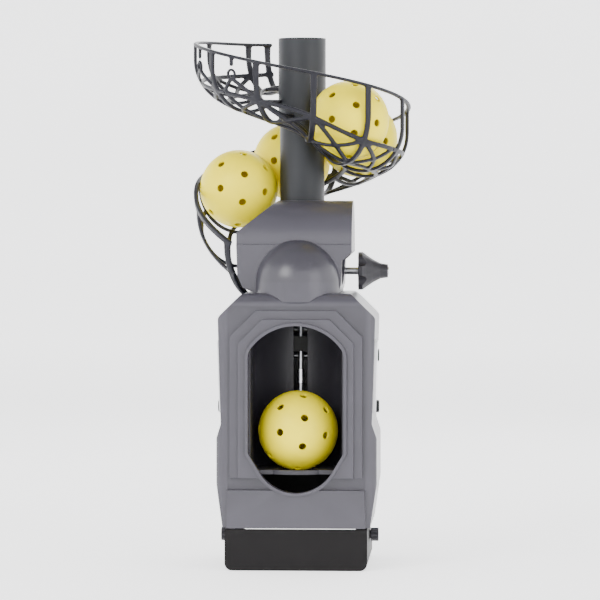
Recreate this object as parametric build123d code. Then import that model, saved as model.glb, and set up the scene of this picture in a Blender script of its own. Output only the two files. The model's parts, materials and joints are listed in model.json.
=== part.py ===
from build123d import *
import math
import os

# Ball pitching machine.  Millimetres, +Z up, front towards -Y, +X to the right as seen from the front.
# The origin is the centre of the stand's underside.

# ---- Practice ball ----
BALL_D = 74.0
BALL_WALL = 1.8
BALL_HOLE_D = 7.0
BALL_R = BALL_D / 2

# ---- Clearances ----
FREE_GAP = 0.3          # between a moving piece and what it rests by
SHAFT_GAP = 0.05        # radial, shaft in a bush or bore
SEAT_GAP = 0.02         # radial, pieces fixed to each other

# ---- Body shell ----
WALL = 2.5
BODY_BOTTOM_Z = 39.0
BODY_TOP_Z = 254.0
BODY_FRONT_Y = -70.0
BODY_REAR_Y = 75.0
BODY_SPLIT_Y = 15.0
STAND_W, STAND_D, STAND_H = 131.0, 150.0, 38.0
FOOT_HALF_W = STAND_W / 2 + 2.4
HIP_HALF_W = STAND_W / 2 + 8.3
WAIST_HALF_W = STAND_W / 2 + 4.0
CHEST_HALF_W = STAND_W / 2 + 7.0
NECK_HALF_W = 50.0
HIP_LOW_Z, HIP_HIGH_Z = 79.0, 121.0
WAIST_Z = 134.0
SHOULDER_Z = 232.0
BODY_EDGE_R = 12.0
EDGE_EXTRA = 1.5          # the plan's rounded corners start this far outside the hips
BODY_TOP_R = 12.0

# ---- Raised front frame, front skirt and window ----
FRAME_HALF_W = 61.0
FRAME_STEP_W = 8.0
FRAME_BOTTOM_Z, FRAME_TOP_Z = 85.0, 238.5
FRAME_CORNER = 24.0
FRAME_LOW_Y, FRAME_HIGH_Y = -74.0, -77.0
SKIRT_TOP_Z = 74.0
WINDOW_HALF_W = 43.8
WINDOW_SPRING_Z, WINDOW_TOP_Z = 200.0, 224.6
WINDOW_NARROW_Z = 108.0
WELL_HALF_W = 33.0
WELL_Z, WINDOW_BOTTOM_Z = 90.0, 71.4
TRIM_W = 3.0
TRIM_PROUD = 2.0

# ---- Rear: battery door, power socket, screws, batteries ----
DOOR_HALF_W, DOOR_LOW_Z, DOOR_HIGH_Z, DOOR_T = 45.0, 48.0, 100.0, 2.0
SOCKET_X, SOCKET_Z, SOCKET_R = 52.0, 116.0, 5.0
HOUSING_SCREW_R, HOUSING_HEAD_R = 1.6, 3.2
SCREW_SPOTS = [(side * 58, z) for side in (-1, 1) for z in (55, 150, 228)]
CELL_R, CELL_L, CELL_PITCH, CELL_Y = 13.0, 46.0, 27.0, 56.0

# ---- Ball drop axis, channel and shelf ----
DROP_Y = -31.0
CHANNEL_R = 42.0
CHANNEL_WALL = 2.0
CHANNEL_SLOT_W = 13.0
SHELF_TOP_Z, SHELF_T = 92.0, 4.0
SHELF_SEAT_R = 14.6
SHELF_MOUTH_HALF_W = 20.5

# ---- Stand and tilt pivot ----
STAND_WALL = 4.0
STAND_CORNER_R = 7.0
TILT_Z = 27.0
TILT_MAX = 12.0
TILT_SCREW_R = 3.0
TILT_HEAD_R, TILT_HEAD_L = 6.25, 8.0
LUG_R, LUG_T = 9.5, 8.0
FOOT_R, FOOT_T = 9.0, 2.0        # rubber pads let in flush with the underside

# ---- Turret: hood, base, drop dome ----
TUNNEL_Z = 299.0
TUNNEL_R = 38.3
HOOD_WALL = 2.2
HOOD_R = TUNNEL_R + HOOD_WALL
SEAM_Z = TUNNEL_Z - 0.2
HOOD_LEFT_X, HOOD_RIGHT_X = -57.0, 50.0
MOUTH_TOP_X, MOUTH_TOP_Z = -22.0, 338.0
MOUTH_LOW_X, MOUTH_LOW_Z = -54.0, 312.5
TURRET_REAR_Y = 62.0
TURRET_DECK_Z = 288.0
TURRET_HALF_D = 42.0
DOME_TOP_Z = 304.0
DOME_R = 40.3

# ---- Mast ----
MAST_Y = 40.0
MAST_R, MAST_WALL = 21.0, 2.0
MAST_BOTTOM_Z = 340.0
SPIGOT_L = 34.0
SLEEVE_R = MAST_R + 1.4
SLEEVE_BOTTOM_Z, SLEEVE_TOP_Z = 412.0, 493.0
ARM_END_R = 41.0
MAST_TOP_Z = SLEEVE_TOP_Z - 4.0

# ---- Spiral tray: heights of the rim and of the ball's centre, against the angle about the mast ----
TRAY_R = 103.0
TRAY_WALL = 2.0
TRAY_FLANGE_T = 3.5
TRAY_GAP = 0.6
BALL_PATH_R = 61.5
TRAY_ANGLES = [110, 180, 270, 320, 392, 463, 531, 556, 592]
RIM_HEIGHTS = [493, 490, 461, 444, 419, 397, 360, 336, 302]
PATH_HEIGHTS = [484, 474, 445, 414, 399, 377.5, 351, 331, 298]
TRAY_SECTIONS = {"tray_upper": (110, 225), "tray_front": (225, 335),
                 "tray_middle": (335, 450), "tray_lower": (450, 592)}
TRAY_BALL_ANGLES = [531, 462.4, 391.6, 318.8]
TROUGH_R = 38.6
TROUGH_END = 125

# ---- Kicker and gears ----
KICK_Y, KICK_Z = 20.0, 243.0
KICK_SHAFT_R = 4.0
KICK_MAX = 22.0
ROD_R = 2.6
HAMMER_HALF_W, HAMMER_H, HAMMER_D = 5.6, 24.0, 9.0
FERRULE_Z, FERRULE_L, FERRULE_R = 168.0, 13.0, 3.5
STOP_Z = 205.0
POST_R = 3.0
BUSH_R, BUSH_FLANGE_R = 6.0, 8.0
IDLE_BORE_R = 2.5
MOTOR_SHAFT_R = 1.2
GEAR_MODULE = 1.0
SECTOR_TEETH, WINDING_TEETH = 48, 32
DRIVE_TEETH, SMALL_TEETH, LARGE_TEETH, PINION_TEETH = 38, 12, 36, 12
GEAR_BACKLASH = 0.25
WINDING_DIR = -40.0
PIN_R = 3.0
PLATE_LEFT_X, PLATE_RIGHT_X, PLATE_T = -20.0, 37.0, 3.0
MOTOR_R, MOTOR_L = 12.0, 24.0

# ---- Strength knob ----
KNOB_Y, KNOB_Z = 52.0, 273.0
KNOB_SHAFT_R = 3.5
KNOB_R = 18.5
KNOB_TURN = 150.0
KNOB_X = HOOD_RIGHT_X + 3.0
NOSE_X = KNOB_X + 28.0
CAM_R, CAM_LIFT, CAM_HALF_T = 5.0, 2.0, 4.0
SPRING_X, SPRING_Y = -10.0, 50.0
SPRING_R, SPRING_WIRE_R, SPRING_PITCH = 4.5, 0.5, 3.9
SPRING_SEAT_R, SPRING_SEAT_T = 5.5, 4.0

# ---- Side strips and buttons ----
STRIP_LOW_Z, STRIP_HIGH_Z = 143.0, 210.0
STRIP_FRONT_Y, STRIP_REAR_Y = -48.0, 4.0
BUTTON_R, BUTTON_PROUD, BUTTON_TRAVEL = 5.8, 4.0, 1.6
BUTTON_Y = -22.0
BUTTON_ZS = {"upper": 196.0, "lower": 148.5}

os.makedirs("parts", exist_ok=True)
PARTS = {}


# ---- Small helpers ----
def slab(face, y_front, y_back):
    """A face drawn in X and Z, made solid between two Y values."""
    return extrude(Plane.XZ.offset(-y_back) * face, amount=y_back - y_front)


def side_slab(face, x_low, x_high):
    """A face drawn in Y and Z, made solid between two X values."""
    return extrude(Plane.YZ.offset(x_low) * face, amount=x_high - x_low)


def upright(radius, x, y, z_low, z_high):
    return Pos(x, y, z_low) * extrude(Circle(radius), z_high - z_low)


def cross_rod(radius, y, z, x_low, x_high):
    return side_slab(Pos(y, z) * Circle(radius), x_low, x_high)


def along_y(radius, x, z, y_low, y_high):
    return slab(Pos(x, z) * Circle(radius), y_low, y_high)


def block(x_low, x_high, y_low, y_high, z_low, z_high):
    size = (x_high - x_low, y_high - y_low, z_high - z_low)
    centre = ((x_low + x_high) / 2, (y_low + y_high) / 2, (z_low + z_high) / 2)
    return Pos(*centre) * Box(*size)


def mirrored(half_points):
    """A closed outline from its right half, listed from bottom to top."""
    left = [(-x, z) for x, z in reversed(half_points) if x > 0]
    return make_face(Polyline(half_points + left, close=True))


def ball_at(centre):
    return Pos(*centre) * BALL


def polar(radius, angle):
    """A point at an angle about the mast, in plan."""
    return (radius * math.cos(math.radians(angle)), MAST_Y + radius * math.sin(math.radians(angle)))


def height_at(heights, angle):
    """Smooth height at an angle: a cubic through the listed heights."""
    last = len(TRAY_ANGLES) - 2
    i = max(k for k in range(last + 1) if TRAY_ANGLES[k] <= angle)
    span = TRAY_ANGLES[i + 1] - TRAY_ANGLES[i]

    def slope(k):
        low, high = max(k - 1, 0), min(k + 1, last + 1)
        return (heights[high] - heights[low]) / (TRAY_ANGLES[high] - TRAY_ANGLES[low])

    t = (angle - TRAY_ANGLES[i]) / span
    start, end = slope(i) * span, slope(i + 1) * span
    return ((2 * t**3 - 3 * t**2 + 1) * heights[i] + (t**3 - 2 * t**2 + t) * start
            + (3 * t**2 - 2 * t**3) * heights[i + 1] + (t**3 - t**2) * end)


def perforated_ball():
    shell = Sphere(BALL_R) - Sphere(BALL_R - BALL_WALL)
    hole = extrude(Circle(BALL_HOLE_D / 2), BALL_R + 1)
    tilts = [(0, 1), (42, 6), (90, 8), (138, 6), (180, 1)]
    for row, (tilt, count) in enumerate(tilts):
        for k in range(count):
            turn = 360 / count * (k + 0.5 * (row % 2))
            shell -= Rot(0, 0, turn) * Rot(0, tilt, 0) * hole
    return Rot(68, 12, 0) * shell


BALL = perforated_ball()


# ---- Outlines seen from the front ----
def body_outline():
    face = mirrored([(FOOT_HALF_W, BODY_BOTTOM_Z), (HIP_HALF_W, HIP_LOW_Z), (HIP_HALF_W, HIP_HIGH_Z),
                     (WAIST_HALF_W, WAIST_Z), (CHEST_HALF_W, SHOULDER_Z), (NECK_HALF_W, BODY_TOP_Z)])
    upper = [v for v in face.vertices() if v.Y > HIP_LOW_Z - 1]
    return fillet(upper, 6)


def window_outline():
    path = Polyline((-WELL_HALF_W, WELL_Z), (-WINDOW_HALF_W, WINDOW_NARROW_Z),
                    (-WINDOW_HALF_W, WINDOW_SPRING_Z))
    arch = ThreePointArc((-WINDOW_HALF_W, WINDOW_SPRING_Z), (0, WINDOW_TOP_Z),
                         (WINDOW_HALF_W, WINDOW_SPRING_Z))
    down = Polyline((WINDOW_HALF_W, WINDOW_SPRING_Z), (WINDOW_HALF_W, WINDOW_NARROW_Z),
                    (WELL_HALF_W, WELL_Z))
    well = ThreePointArc((WELL_HALF_W, WELL_Z), (0, WINDOW_BOTTOM_Z), (-WELL_HALF_W, WELL_Z))
    face = make_face(path + arch + down + well)
    corners = [v for v in face.vertices() if v.Y > WINDOW_NARROW_Z + 1]
    return fillet(corners, 14)


def frame_outline(half_w, low_z, high_z, corner):
    return mirrored([(half_w, low_z), (half_w, high_z - corner), (half_w - corner, high_z)])


def channel_outline(radius):
    """The U of the ball channel in plan, open to the front."""
    front_y = BODY_FRONT_Y + WALL + FREE_GAP
    walls = Pos(0, (front_y + DROP_Y) / 2) * Rectangle(2 * radius, DROP_Y - front_y)
    return walls + Pos(0, DROP_Y) * Circle(radius)


# ---- Body: two covers, floor plate, trims ----
def body_solid(inset):
    """The body's outer form, or the same form inset all round."""
    depth, mid_y = BODY_REAR_Y - BODY_FRONT_Y, (BODY_REAR_Y + BODY_FRONT_Y) / 2
    front_view = body_outline() if inset == 0 else offset(body_outline(), -inset)
    plan = Pos(0, mid_y) * RectangleRounded(
        2 * (HIP_HALF_W + EDGE_EXTRA - inset), depth - 2 * inset, BODY_EDGE_R + EDGE_EXTRA - inset)
    side_view = make_face(Polyline(
        (BODY_FRONT_Y + inset, BODY_BOTTOM_Z - 5), (BODY_REAR_Y - inset, BODY_BOTTOM_Z - 5),
        (BODY_REAR_Y - inset, BODY_TOP_Z - inset), (BODY_FRONT_Y + inset, BODY_TOP_Z - inset), close=True))
    upper = [v for v in side_view.vertices() if v.Y > BODY_BOTTOM_Z]
    side_view = fillet(upper, BODY_TOP_R - inset)
    solid = slab(front_view, BODY_FRONT_Y, BODY_REAR_Y) & extrude(plan, BODY_TOP_Z)
    return solid & side_slab(side_view, -HIP_HALF_W - 5, HIP_HALF_W + 5)


def body_shell():
    foot_w = FOOT_HALF_W - WALL
    mouth = block(-foot_w, foot_w, BODY_FRONT_Y + WALL, BODY_REAR_Y - WALL,
                  BODY_BOTTOM_Z - 1, BODY_BOTTOM_Z + 4)
    return body_solid(0) - body_solid(WALL) - mouth


def front_frame():
    low = frame_outline(FRAME_HALF_W, FRAME_BOTTOM_Z, FRAME_TOP_Z, FRAME_CORNER)
    high = frame_outline(FRAME_HALF_W - FRAME_STEP_W, FRAME_BOTTOM_Z, FRAME_TOP_Z - FRAME_STEP_W,
                         FRAME_CORNER - 2)
    skirt = mirrored([(FOOT_HALF_W - 4, BODY_BOTTOM_Z), (FRAME_HALF_W + 2, SKIRT_TOP_Z)])
    frame = slab(low, FRAME_LOW_Y, BODY_FRONT_Y + 1) + slab(high, FRAME_HIGH_Y, BODY_FRONT_Y + 1)
    return frame + slab(skirt, FRAME_HIGH_Y, BODY_FRONT_Y + 1)


def strip_pocket(side, grow=0.0):
    """The space of a side strip on the flank, from just inside the skin outwards."""
    inner_x = WAIST_HALF_W - WALL + 1.2
    low, high = sorted((side * inner_x, side * (CHEST_HALF_W + 1.0)))
    return block(low, high, STRIP_FRONT_Y - grow, STRIP_REAR_Y + grow,
                 STRIP_LOW_Z - grow, STRIP_HIGH_Z + grow)


def side_holes():
    cuts = []
    for z in BUTTON_ZS.values():
        cuts.append(cross_rod(BUTTON_R + FREE_GAP, BUTTON_Y, z, -80, 80))
    return cuts


def front_cover(shell):
    half = shell & block(-90, 90, -90, BODY_SPLIT_Y, 0, 300)
    half += front_frame()
    half -= slab(window_outline(), -90, BODY_FRONT_Y + WALL + 4)
    half -= slab(offset(window_outline(), TRIM_W + SEAT_GAP), -90, FRAME_HIGH_Y + 2.5)
    half -= upright(TUNNEL_R + 2, 0, DROP_Y, BODY_TOP_Z - 6, BODY_TOP_Z + 1)
    for side in (-1, 1):
        half -= strip_pocket(side, SEAT_GAP)
    for hole in side_holes():
        half -= hole
    return half


def rear_cover(shell):
    half = shell & block(-90, 90, BODY_SPLIT_Y, 90, 0, 300)
    half -= block(SPRING_X - 8, SPRING_X + 8, KICK_Y + 4, KNOB_Y + 9, BODY_TOP_Z - 6, BODY_TOP_Z + 1)
    half -= upright(TUNNEL_R + 2, 0, DROP_Y, BODY_TOP_Z - 6, BODY_TOP_Z + 1)
    half -= slab(DOOR_FACE, BODY_REAR_Y - DOOR_T, BODY_REAR_Y + 1)
    half -= slab(offset(DOOR_FACE, -4), BODY_REAR_Y - 6, BODY_REAR_Y + 1)
    half -= along_y(SOCKET_R + SEAT_GAP, SOCKET_X, SOCKET_Z, BODY_REAR_Y - 8, BODY_REAR_Y + 1)
    for x, z in SCREW_SPOTS:
        half -= along_y(HOUSING_SCREW_R + SEAT_GAP, x, z, BODY_REAR_Y - 8, BODY_REAR_Y + 1)
        half -= along_y(HOUSING_HEAD_R + SEAT_GAP, x, z, BODY_REAR_Y - 1.5, BODY_REAR_Y + 1)
    return half


DOOR_FACE = mirrored([(DOOR_HALF_W, DOOR_LOW_Z), (DOOR_HALF_W, DOOR_HIGH_Z)])
SHELL = body_shell()
PARTS["front_cover"] = front_cover(SHELL)
PARTS["rear_cover"] = rear_cover(SHELL)

trim_ring = offset(window_outline(), TRIM_W) - offset(window_outline(), 0.0)
PARTS["window_trim"] = slab(trim_ring, FRAME_HIGH_Y - TRIM_PROUD, FRAME_HIGH_Y + 2.5)
PARTS["battery_door"] = slab(offset(DOOR_FACE, -SEAT_GAP), BODY_REAR_Y - DOOR_T, BODY_REAR_Y)
PARTS["dc_socket"] = (along_y(SOCKET_R, SOCKET_X, SOCKET_Z, BODY_REAR_Y - 12, BODY_REAR_Y + 0.5)
                      - along_y(SOCKET_R - 1.6, SOCKET_X, SOCKET_Z, BODY_REAR_Y - 9, BODY_REAR_Y + 1)
                      + along_y(1.0, SOCKET_X, SOCKET_Z, BODY_REAR_Y - 10, BODY_REAR_Y - 1))
PARTS["housing_screws"] = Compound(children=[
    along_y(HOUSING_SCREW_R, x, z, BODY_REAR_Y - 7.5, BODY_REAR_Y - 1.5)
    + along_y(HOUSING_HEAD_R, x, z, BODY_REAR_Y - 1.5, BODY_REAR_Y - 0.3) for x, z in SCREW_SPOTS])

# ---- Ball channel and shelf ----
channel_top_z = BODY_TOP_Z - WALL - 1.5
channel_floor_z = SHELF_TOP_Z - SHELF_T
channel = Pos(0, 0, channel_floor_z) * extrude(
    channel_outline(CHANNEL_R + CHANNEL_WALL) - channel_outline(CHANNEL_R), channel_top_z - channel_floor_z)
channel -= block(-CHANNEL_R, CHANNEL_R, -90, BODY_FRONT_Y + WALL + 3, 0, 300)
channel -= block(-CHANNEL_SLOT_W / 2, CHANNEL_SLOT_W / 2, DROP_Y, 60, SHELF_TOP_Z + 6, 300)
channel &= body_solid(WALL + FREE_GAP)
PARTS["ball_channel"] = channel

seat = Pos(0, DROP_Y) * Circle(SHELF_SEAT_R)
mouth_y = BODY_FRONT_Y + WALL
notch = make_face(Polyline((-SHELF_SEAT_R, DROP_Y), (SHELF_SEAT_R, DROP_Y), (SHELF_MOUTH_HALF_W, mouth_y),
                           (-SHELF_MOUTH_HALF_W, mouth_y), close=True))
shelf_face = channel_outline(CHANNEL_R - SEAT_GAP) - seat - notch
PARTS["ball_shelf"] = Pos(0, 0, channel_floor_z) * extrude(shelf_face, SHELF_T)

ball_rest_z = SHELF_TOP_Z + math.sqrt(BALL_R**2 - SHELF_SEAT_R**2) + FREE_GAP
PARTS["window_ball"] = ball_at((0, DROP_Y, ball_rest_z))

# ---- Side strips, buttons, boards ----
boards = []
for side, hand in ((-1, "left"), (1, "right")):
    strip = strip_pocket(side) & slab(body_outline(), -60, 60)
    for hole in side_holes():
        strip -= hole
    PARTS[f"side_strip_{hand}"] = strip
    stem_x, face_x = WAIST_HALF_W - WALL - 3.5, CHEST_HALF_W - 1.5 + BUTTON_PROUD
    for level, z in BUTTON_ZS.items():
        cap = cross_rod(BUTTON_R, BUTTON_Y, z, *sorted((side * (WAIST_HALF_W - 3), side * face_x)))
        stem = cross_rod(1.5, BUTTON_Y, z, *sorted((side * stem_x, side * (WAIST_HALF_W - 3))))
        outer_edge = cap.edges().filter_by_position(Axis.X, side * face_x, side * face_x)
        PARTS[f"button_{hand}_{level}"] = fillet(outer_edge, 1.0) + stem
    board_x = stem_x - BUTTON_TRAVEL - FREE_GAP - 3.0
    low, high = sorted((side * (board_x - 1.6), side * board_x))
    board = block(low, high, BUTTON_Y - 14, 10, BUTTON_ZS["lower"] - 8, BUTTON_ZS["upper"] + 8)
    for z in BUTTON_ZS.values():
        low, high = sorted((side * board_x, side * (board_x + 3.0)))
        board += block(low, high, BUTTON_Y - 3, BUTTON_Y + 3, z - 3, z + 3)
    boards.append(board)
PARTS["button_boards"] = Compound(children=boards)

# ---- Stand, feet, ballast, base plate with tilt lugs, screws ----
stand_face = mirrored([(STAND_W / 2, 0), (STAND_W / 2, STAND_H)])
stand_face = fillet([v for v in stand_face.vertices() if v.Y < 1], STAND_CORNER_R)
stand = slab(stand_face, -STAND_D / 2, STAND_D / 2)
rear_drop = (STAND_D / 2) * math.tan(math.radians(TILT_MAX)) + 2.0
wedge_y = STAND_D / 2 + 1
wedge = make_face(Polyline((0, STAND_H), (wedge_y, STAND_H - rear_drop), (wedge_y, STAND_H + 9),
                           (0, STAND_H + 9), close=True))
stand -= side_slab(wedge, -STAND_W, STAND_W)
stand -= block(-STAND_W / 2 + STAND_WALL, STAND_W / 2 - STAND_WALL, -STAND_D / 2 + STAND_WALL,
               STAND_D / 2 - STAND_WALL, STAND_WALL, STAND_H + 1)
stand -= cross_rod(TILT_SCREW_R + SHAFT_GAP, 0, TILT_Z, -STAND_W, STAND_W)
PARTS["ballast_plate"] = block(-50, 50, -60, 60, STAND_WALL, STAND_WALL + 5)
foot_spots = [(sx * (STAND_W / 2 - 18), sy * (STAND_D / 2 - 16)) for sx in (-1, 1) for sy in (-1, 1)]
for x, y in foot_spots:
    stand -= upright(FOOT_R + SEAT_GAP, x, y, -1, FOOT_T + SEAT_GAP)
PARTS["stand"] = stand
PARTS["rubber_feet"] = Compound(children=[upright(FOOT_R, x, y, 0, FOOT_T) for x, y in foot_spots])

floor_face = (BODY_FRONT_Y + WALL + 0.2, BODY_REAR_Y - WALL - 0.2)
plate_half_w = FOOT_HALF_W - WALL - 0.2
base_plate = block(-plate_half_w, plate_half_w, *floor_face, BODY_BOTTOM_Z, BODY_BOTTOM_Z + 2.5)
lug_x = STAND_W / 2 - STAND_WALL - 1.0
for side in (-1, 1):
    low, high = sorted((side * (lug_x - LUG_T), side * lug_x))
    base_plate += cross_rod(LUG_R, 0, TILT_Z, low, high)
    base_plate += block(low, high, -LUG_R, LUG_R, TILT_Z, BODY_BOTTOM_Z + 1)
    base_plate -= cross_rod(TILT_SCREW_R + SHAFT_GAP, 0, TILT_Z, *sorted((side * 40, side * 70)))
PARTS["base_plate"] = base_plate

for side, hand in ((-1, "left"), (1, "right")):
    face_x = STAND_W / 2 + FREE_GAP
    shank = cross_rod(TILT_SCREW_R, 0, TILT_Z, *sorted((side * (lug_x - LUG_T - 2), side * face_x)))
    neck = cross_rod(TILT_HEAD_R - 2, 0, TILT_Z, *sorted((side * face_x, side * (face_x + TILT_HEAD_L))))
    screw = shank + neck
    for k in range(8):
        turn = math.radians(45 * k)
        y, z = (TILT_HEAD_R - 1.8) * math.cos(turn), TILT_Z + (TILT_HEAD_R - 1.8) * math.sin(turn)
        screw += cross_rod(1.8, y, z, *sorted((side * (face_x + 1), side * (face_x + TILT_HEAD_L))))
    PARTS[f"tilt_screw_{hand}"] = screw

# ---- Turret: base, hood, drop dome, mast pedestal ----
base_z = BODY_TOP_Z + SEAT_GAP
turret_outline = make_face(Polyline(
    (-40, base_z), (38, base_z), (40, base_z + 8), (41, TURRET_DECK_Z - 4),
    (HOOD_RIGHT_X, TURRET_DECK_Z + 4), (HOOD_RIGHT_X, SEAM_Z), (HOOD_LEFT_X, SEAM_Z),
    (HOOD_LEFT_X + 1, base_z + 16), (HOOD_LEFT_X + 6, base_z + 5),
    close=True))
below_deck = Pos(0, TURRET_DECK_Z - 50) * Rectangle(200, 100)


def drop_cavity(radius):
    """The vertical drop tube with its domed top."""
    centre_z = DOME_TOP_Z - DOME_R
    return upright(radius, 0, DROP_Y, BODY_TOP_Z - 20, centre_z) + Pos(0, DROP_Y, centre_z) * Sphere(radius)


def turret_base():
    rear_outline = turret_outline & below_deck
    outer = slab(turret_outline, -TURRET_HALF_D, TURRET_HALF_D)
    outer += slab(rear_outline, TURRET_HALF_D - 1, TURRET_REAR_Y)
    room = offset(turret_outline, -HOOD_WALL)
    rear_room = offset(rear_outline, -HOOD_WALL)
    hollow = slab(room, -TURRET_HALF_D + HOOD_WALL, TURRET_HALF_D - HOOD_WALL)
    hollow += slab(rear_room, TURRET_HALF_D - HOOD_WALL - 1, TURRET_REAR_Y - HOOD_WALL)
    hollow += block(-38, 36, -TURRET_HALF_D + HOOD_WALL, TURRET_REAR_Y - HOOD_WALL,
                    base_z - 1, base_z + 4)
    trough = cross_rod(HOOD_R, 0, TUNNEL_Z, HOOD_LEFT_X, HOOD_RIGHT_X) & outer
    base = outer - hollow + trough
    base -= cross_rod(TUNNEL_R, 0, TUNNEL_Z, HOOD_LEFT_X - 5, HOOD_RIGHT_X - HOOD_WALL)
    base -= drop_cavity(TUNNEL_R)
    bearing = block(SPRING_X - 11, SPRING_X - 8, KNOB_Y - 7, TURRET_REAR_Y - 1,
                    KNOB_Z - 7, TURRET_DECK_Z - 1)
    guide = upright(8, SPRING_X, SPRING_Y, BODY_TOP_Z + 4.5, KNOB_Z - CAM_R - 2)
    guide += block(SPRING_X - 3, SPRING_X + 3, KNOB_Y + 4, TURRET_REAR_Y - 1,
                   BODY_TOP_Z + 4.5, KNOB_Z - CAM_R - 2)
    guide -= cross_rod(CAM_R + CAM_LIFT + FREE_GAP, KNOB_Y, KNOB_Z, SPRING_X - 9, SPRING_X + 9)
    base += bearing + guide
    base -= upright(SPRING_SEAT_R + SHAFT_GAP, SPRING_X, SPRING_Y, BODY_TOP_Z, KNOB_Z - CAM_R)
    base -= cross_rod(KNOB_SHAFT_R + SHAFT_GAP, KNOB_Y, KNOB_Z, SPRING_X - 12, HOOD_RIGHT_X + 5)
    return base


def hood_shell():
    shell = cross_rod(HOOD_R, 0, TUNNEL_Z, HOOD_LEFT_X, HOOD_RIGHT_X)
    shell -= cross_rod(TUNNEL_R, 0, TUNNEL_Z, HOOD_LEFT_X - 5, HOOD_RIGHT_X - HOOD_WALL)
    shell &= block(-90, 90, -60, 60, SEAM_Z + SEAT_GAP, 360)
    slope = (MOUTH_TOP_Z - MOUTH_LOW_Z) / (MOUTH_TOP_X - MOUTH_LOW_X)
    over_z = MOUTH_TOP_Z + 10 * slope
    mouth = make_face(Polyline((MOUTH_LOW_X - 20, MOUTH_LOW_Z - 20 * slope), (MOUTH_TOP_X + 10, over_z),
                               (MOUTH_LOW_X - 20, over_z), close=True))
    shell -= slab(mouth, -60, 60)
    return shell - drop_cavity(DOME_R + SEAT_GAP)


def drop_dome():
    dome = drop_cavity(DOME_R) - drop_cavity(TUNNEL_R)
    dome &= block(-60, 60, -90, DROP_Y + 30, BODY_TOP_Z - 8, 360)
    dome -= cross_rod(HOOD_R + SEAT_GAP, 0, TUNNEL_Z, -90, 90)
    dome -= block(-90, 90, -TURRET_HALF_D - SEAT_GAP, 90, 200, SEAM_Z + SEAT_GAP)
    return dome - body_solid(-SEAT_GAP)


PARTS["turret_base"] = turret_base()
PARTS["hood"] = hood_shell()
PARTS["drop_dome"] = drop_dome()

pedestal = upright(MAST_R + 1, 0, MAST_Y, TURRET_DECK_Z + SEAT_GAP, MAST_BOTTOM_Z - SEAT_GAP)
pedestal += upright(MAST_R - MAST_WALL - SHAFT_GAP, 0, MAST_Y, MAST_BOTTOM_Z - 1, MAST_BOTTOM_Z + SPIGOT_L)
pedestal -= cross_rod(HOOD_R + SEAT_GAP, 0, TUNNEL_Z, -90, 90)
pedestal -= block(-90, 90, -90, TURRET_HALF_D + SEAT_GAP, 0, SEAM_Z + SEAT_GAP)
PARTS["mast_pedestal"] = pedestal
PARTS["mast_tube"] = (upright(MAST_R, 0, MAST_Y, MAST_BOTTOM_Z, MAST_TOP_Z)
                      - upright(MAST_R - MAST_WALL, 0, MAST_Y, MAST_BOTTOM_Z - 1, MAST_TOP_Z + 1))
PARTS["tray_hub"] = (upright(SLEEVE_R, 0, MAST_Y, SLEEVE_BOTTOM_Z, SLEEVE_TOP_Z)
                     - upright(MAST_R + SHAFT_GAP, 0, MAST_Y, SLEEVE_BOTTOM_Z - 1, MAST_TOP_Z + FREE_GAP))


# ---- Spiral tray ----
def slope_stretch(angle):
    """How much taller an upright cut through the sloping trough is than a square one."""
    low, high = max(angle - 6, TRAY_ANGLES[0]), min(angle + 6, TRAY_ANGLES[-1])
    drop = height_at(PATH_HEIGHTS, low) - height_at(PATH_HEIGHTS, high)
    run = BALL_PATH_R * math.radians(high - low)
    return math.hypot(drop, run) / run


def tray_section_face(angle):
    """The trough's cross-section in the upright plane through the mast axis at this angle."""
    path_z = height_at(PATH_HEIGHTS, angle)
    rim_z = height_at(RIM_HEIGHTS, angle)
    tall = slope_stretch(angle)
    steps = [-k * TROUGH_END / 9 for k in range(10)]

    def round_path(radius, turn):
        around = math.radians(turn)
        return BALL_PATH_R + radius * math.cos(around), path_z + tall * radius * math.sin(around)

    inner = [round_path(TROUGH_R, a) for a in steps]
    outer = [round_path(TROUGH_R + TRAY_WALL, a) for a in reversed(steps)]
    wall_r = BALL_PATH_R + TROUGH_R + TRAY_WALL
    flange = [(wall_r, rim_z - TRAY_FLANGE_T), (TRAY_R, rim_z - TRAY_FLANGE_T), (TRAY_R, rim_z),
              (BALL_PATH_R + TROUGH_R, rim_z)]
    points = []
    for r, z in inner + outer + flange:
        x, y = polar(r, angle)
        points.append((x, y, z))
    return make_face(Polyline(points, close=True))


def tray_section(start, end):
    count = math.ceil((end - start) / 12)
    stations = [start + (end - start) * k / count for k in range(count + 1)]
    faces = [tray_section_face(angle) for angle in stations]
    pieces = [loft([low, high], ruled=True) for low, high in zip(faces, faces[1:])]
    return pieces[0].fuse(*pieces[1:])


def hub_arm(angle):
    """A flat arm from the hub's sleeve out to the trough's inner edge."""
    edge_drop = slope_stretch(angle) * TROUGH_R * math.sin(math.radians(TROUGH_END))
    z = height_at(PATH_HEIGHTS, angle) - edge_drop - 1
    arm = Pos((SLEEVE_R + ARM_END_R) / 2, 0, z - 2) * Box(ARM_END_R - SLEEVE_R - 2 * SEAT_GAP, 6, 4)
    return Pos(0, MAST_Y, 0) * Rot(0, 0, angle) * arm


def turret_envelope(gap):
    """Everything at or below the hood and turret, so the tray can lift straight off."""
    side_face = Pos(0, TUNNEL_Z) * Circle(HOOD_R + gap)
    side_face += Pos(0, 200) * Rectangle(2 * (TURRET_HALF_D + gap), 2 * (SEAM_Z - 200 + gap))
    side_face += Pos((TURRET_REAR_Y - TURRET_HALF_D) / 2, 200) * Rectangle(
        TURRET_REAR_Y + TURRET_HALF_D + 2 * gap, 2 * (TURRET_DECK_Z - 200 + gap))
    return side_slab(side_face, HOOD_LEFT_X - gap, HOOD_RIGHT_X + gap)


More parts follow.
